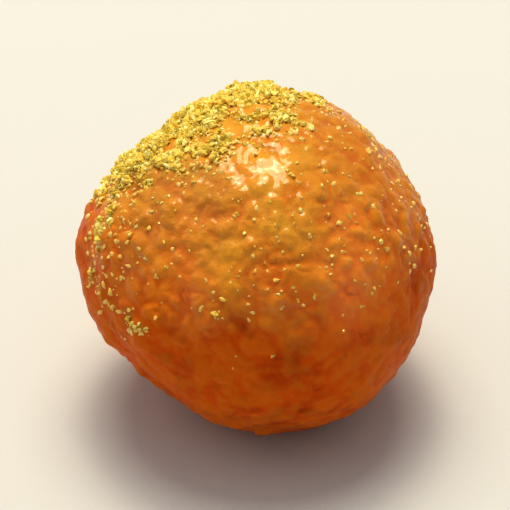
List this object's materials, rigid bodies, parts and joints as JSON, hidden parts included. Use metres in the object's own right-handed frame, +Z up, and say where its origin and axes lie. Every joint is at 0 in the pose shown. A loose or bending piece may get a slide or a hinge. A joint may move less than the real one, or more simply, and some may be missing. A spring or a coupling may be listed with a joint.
{
  "type": "lokma",
  "caption": "Bite-sized ball of fried yeast dough, glazed with syrup and dusted with ground pistachio, served as a small sweet.",
  "frame": {"origin": "middle of the ball's footprint (its box's bottom centre), on the surface it rests on", "axes": "+Z up, +X to the right across the ball, +Y from the front to the back; the small pinched tail points along -X"},
  "size_m": [0.028, 0.0278, 0.0266],
  "materials": {
    "glazed_crust": "golden brown fried crust under a clear, wet syrup glaze",
    "pistachio_powder": "ground pistachio, yellow-green, dry and crumbly on top, damp with syrup where it thins out"
  },
  "bodies": {
    "root": {"fried_dough_ball": "glazed_crust"}
  },
  "joints": []
}
